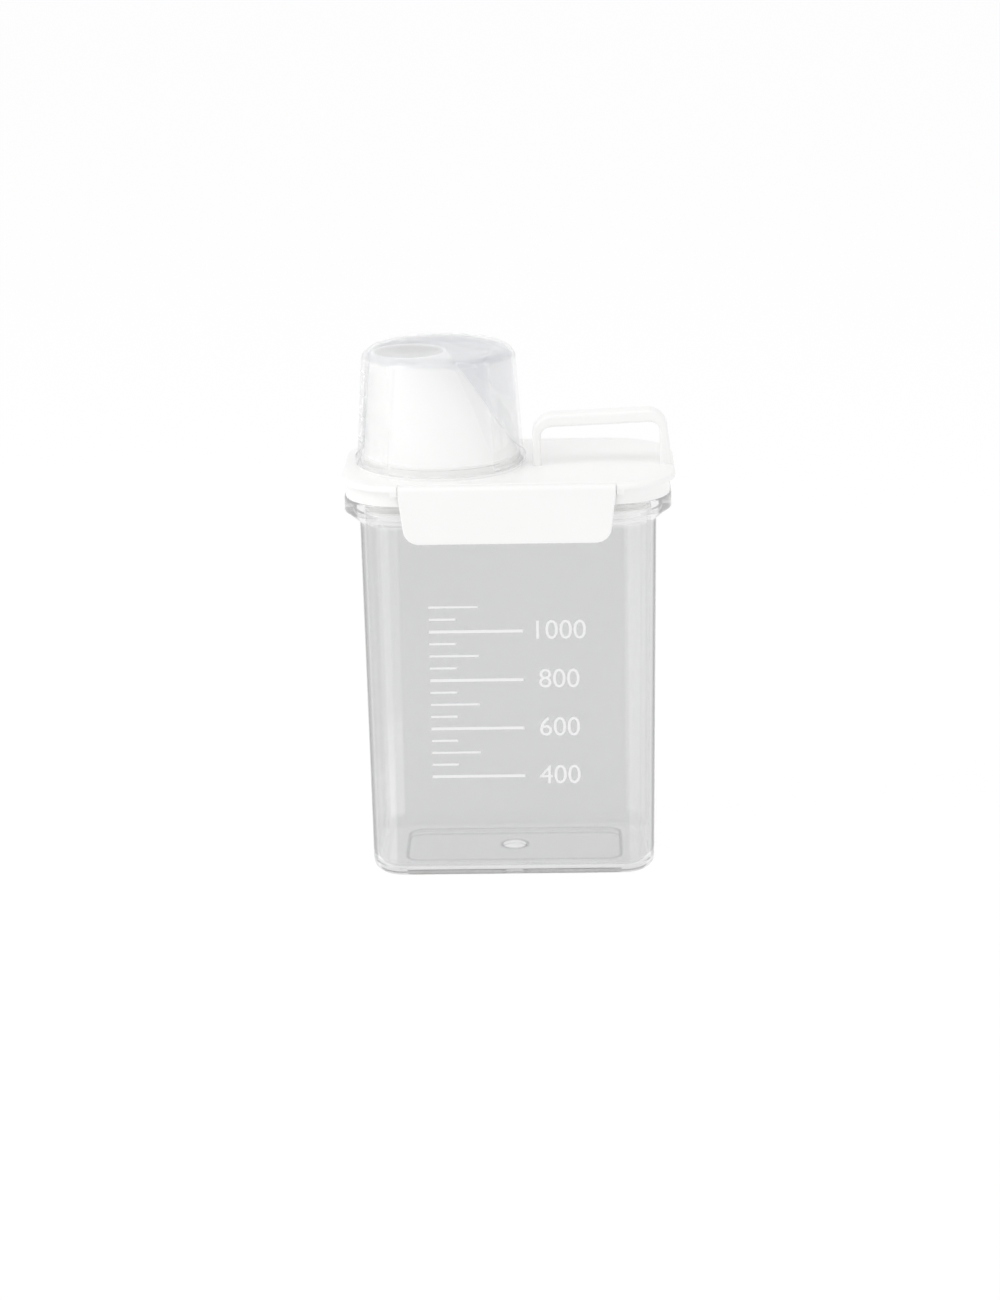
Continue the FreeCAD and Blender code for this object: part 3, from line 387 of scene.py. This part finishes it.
BODY = clear_plastic("clear_body", 26, 0.00002, body_colour, body_alpha, paired=True)
CUP = clear_plastic("clear_cup", 34, 0.00003, cup_colour, cup_alpha, paired=False)
WHITE = white_plastic("white_plastic", (0.96, 0.958, 0.952), 0.36)
SILICONE = white_plastic("silicone", (0.94, 0.94, 0.93), 0.55)
INK = white_plastic("white_ink", (0.88, 0.88, 0.88), 0.5)

for node, material in (
    ("jar_body", BODY), ("measuring_cup", CUP), ("lid", WHITE), ("front_lock_flap", WHITE),
    ("rear_lock_flap", WHITE), ("pour_spout", WHITE), ("carry_handle", WHITE),
    ("lid_gasket", SILICONE), ("spout_gasket", SILICONE), ("cup_seal_ring", SILICONE),
):
    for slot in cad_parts[node].material_slots:
        slot.material = material


# Print: flat shapes that are laid on a wall by a rule from (across, up) to a place.
def on_front_wall(across, up):
    """A place on the jar's front wall."""
    return across, -(BASE_FRONT + WALL_LEAN * up + INK_LIFT), up


def on_cup_wall(lift):
    """The rule for a place on the cup's side: the angle from the left towards the front, and the height."""
    def rule(across, up):
        radius = CUP_RADIUS - CUP_TAPER * (up - CUP_FOOT) + lift
        return CUP_X - radius * math.cos(across), -radius * math.sin(across), up
    return rule


def printed(name, body, points, faces, rule):
    """A thin printed shape that rides a body."""
    mesh = bpy.data.meshes.new(name)
    mesh.from_pydata([rule(*point) for point in points], [], faces)
    mesh.materials.append(INK)
    piece = bpy.data.objects.new(name, mesh)
    scene.collection.objects.link(piece)
    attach(piece, body)


def strip(low_across, high_across, low, high, steps=1):
    """The points and faces of a band between two heights."""
    points = []
    for step in range(steps + 1):
        across = low_across + (high_across - low_across) * step / steps
        points += [(across, low), (across, high)]
    faces = [(2 * step, 2 * step + 2, 2 * step + 3, 2 * step + 1) for step in range(steps)]
    return points, faces


def figures(text, height):
    """The points and faces of plain figures, with their middle at the origin."""
    curve = bpy.data.curves.new("figures", "FONT")
    curve.body = text
    curve.align_x = "CENTER"
    curve.align_y = "CENTER"
    curve.size = height / FIGURE_SHARE
    holder = bpy.data.objects.new("figures", curve)
    mesh = holder.to_mesh()
    points = [(vertex.co.x, vertex.co.y) for vertex in mesh.vertices]
    faces = [tuple(polygon.vertices) for polygon in mesh.polygons]
    holder.to_mesh_clear()
    bpy.data.objects.remove(holder)
    bpy.data.curves.remove(curve)
    return points, faces


for tick in TICKS:
    level = LITRE_ZERO + LITRE_RISE * tick * TICK_ML / 1000
    length, thick = next(size[1:] for size in TICK_SIZES if tick % size[0] == 0)
    points, faces = strip(TICK_LEFT, TICK_LEFT + length, level - thick, level + thick)
    printed(f"level_tick_{tick * TICK_ML}", "jar", points, faces, on_front_wall)
    if tick % FIGURED_TICK == 0:
        points, faces = figures(str(tick * TICK_ML), FIGURES_HEIGHT)
        placed = [(x + FIGURES_X, y + level) for x, y in points]
        printed(f"level_figures_{tick * TICK_ML}", "jar", placed, faces, on_front_wall)

for level, text in MARK_LEVELS:
    points, faces = strip(MARK_TURN - MARK_SWEEP / 2, MARK_TURN + MARK_SWEEP / 2,
                          level - MARK_HEIGHT, level, MARK_STEPS)
    printed(f"cup_tick_{text}", "cup", points, faces, on_cup_wall(MARK_PROUD + INK_LIFT))
    points, faces = figures(text, CUP_FIGURES_HEIGHT)
    middle = MARK_TURN + MARK_SWEEP / 2 + CUP_FIGURES_TURN
    placed = [(middle - x / CUP_RADIUS, level - MARK_HEIGHT / 2 - y) for x, y in points]
    printed(f"cup_figures_{text}", "cup", placed, faces, on_cup_wall(INK_LIFT))


# Floor and background, white to the eye and through the plastic, with the object's own shadow on it.
def seen_directly(graph):
    """1 for a ray from the camera, or one that is mirrored or let through."""
    path = graph.light_path()
    first = graph.math("MAXIMUM", path["Is Camera Ray"], path["Is Glossy Ray"])
    return graph.math("MAXIMUM", first, path["Is Transmission Ray"])


world = bpy.data.worlds.new("studio")
scene.world = world
world.use_nodes = True
graph = Graph(world.node_tree)
backdrop = graph.nodes["Background"]
backdrop.inputs["Color"].default_value = (1, 1, 1, 1)
strength = graph.nodes.new("ShaderNodeMapRange")
strength.inputs["To Min"].default_value = WORLD_LIGHT
strength.inputs["To Max"].default_value = WORLD_SEEN
graph.links.new(seen_directly(graph), strength.inputs["Value"])
graph.links.new(strength.outputs["Result"], backdrop.inputs["Strength"])

bpy.ops.mesh.primitive_plane_add(size=FLOOR_SIZE, location=(0, 0, 0))
floor = bpy.context.object
floor.name = "floor"
floor_material = bpy.data.materials.new("floor")
floor_material.use_nodes = True
nodes = floor_material.node_tree.nodes
links = floor_material.node_tree.links
nodes.remove(nodes["Principled BSDF"])
paint = nodes.new("ShaderNodeBsdfDiffuse")
paint.inputs["Color"].default_value = (FLOOR_PAINT, FLOOR_PAINT, FLOOR_PAINT, 1)
glow = nodes.new("ShaderNodeEmission")
glow.inputs["Strength"].default_value = FLOOR_GLOW
both = nodes.new("ShaderNodeAddShader")
links.new(paint.outputs[0], both.inputs[0])
links.new(glow.outputs[0], both.inputs[1])
links.new(both.outputs[0], nodes["Material Output"].inputs["Surface"])
floor.data.materials.append(floor_material)


def soft_lamp(name, azimuth, elevation, distance, size, watts):
    """A soft lamp that looks at the jar's upper half, at an angle from the front towards the right."""
    turn, lift = math.radians(azimuth), math.radians(elevation)
    place = LAMP_AIM + distance * Vector((math.sin(turn) * math.cos(lift), -math.cos(turn) * math.cos(lift),
                                          math.sin(lift)))
    lamp = bpy.data.lights.new(name, "AREA")
    lamp.shape = "RECTANGLE"
    lamp.size, lamp.size_y = size
    lamp.energy = watts
    lamp_object = bpy.data.objects.new(name, lamp)
    scene.collection.objects.link(lamp_object)
    lamp_object.location = place
    lamp_object.rotation_euler = (LAMP_AIM - place).to_track_quat("-Z", "Y").to_euler()


soft_lamp("lamp_left", azimuth=-66, elevation=36, distance=1.3, size=(0.40, 0.55), watts=2.9)
soft_lamp("lamp_right", azimuth=62, elevation=30, distance=1.3, size=(0.22, 0.45), watts=0.68)
soft_lamp("lamp_over", azimuth=-20, elevation=70, distance=1.4, size=(1.0, 0.8), watts=1.55)

camera = bpy.data.objects.new("camera", bpy.data.cameras.new("camera"))
scene.collection.objects.link(camera)
camera.data.sensor_fit = "VERTICAL"
camera.data.sensor_height = SENSOR
camera.data.sensor_width = SENSOR
camera.data.lens = LENS
camera.data.shift_x, camera.data.shift_y = SHIFT
camera.data.clip_start, camera.data.clip_end = CAMERA_CLIP
level_right = Vector((math.cos(CAMERA_ORBIT), math.sin(CAMERA_ORBIT), 0))
backward = Vector((math.sin(CAMERA_ORBIT), -math.cos(CAMERA_ORBIT), 0))
place = TARGET + CAMERA_DISTANCE * (math.cos(CAMERA_ELEVATION) * backward
                                    + math.sin(CAMERA_ELEVATION) * Vector((0, 0, 1)))
ahead = (TARGET - place).normalized()
level_up = level_right.cross(ahead)
right = math.cos(CAMERA_ROLL) * level_right - math.sin(CAMERA_ROLL) * level_up
up = math.sin(CAMERA_ROLL) * level_right + math.cos(CAMERA_ROLL) * level_up
camera.matrix_world = Matrix.Translation(place) @ Matrix((right, up, -ahead)).transposed().to_4x4()
scene.camera = camera
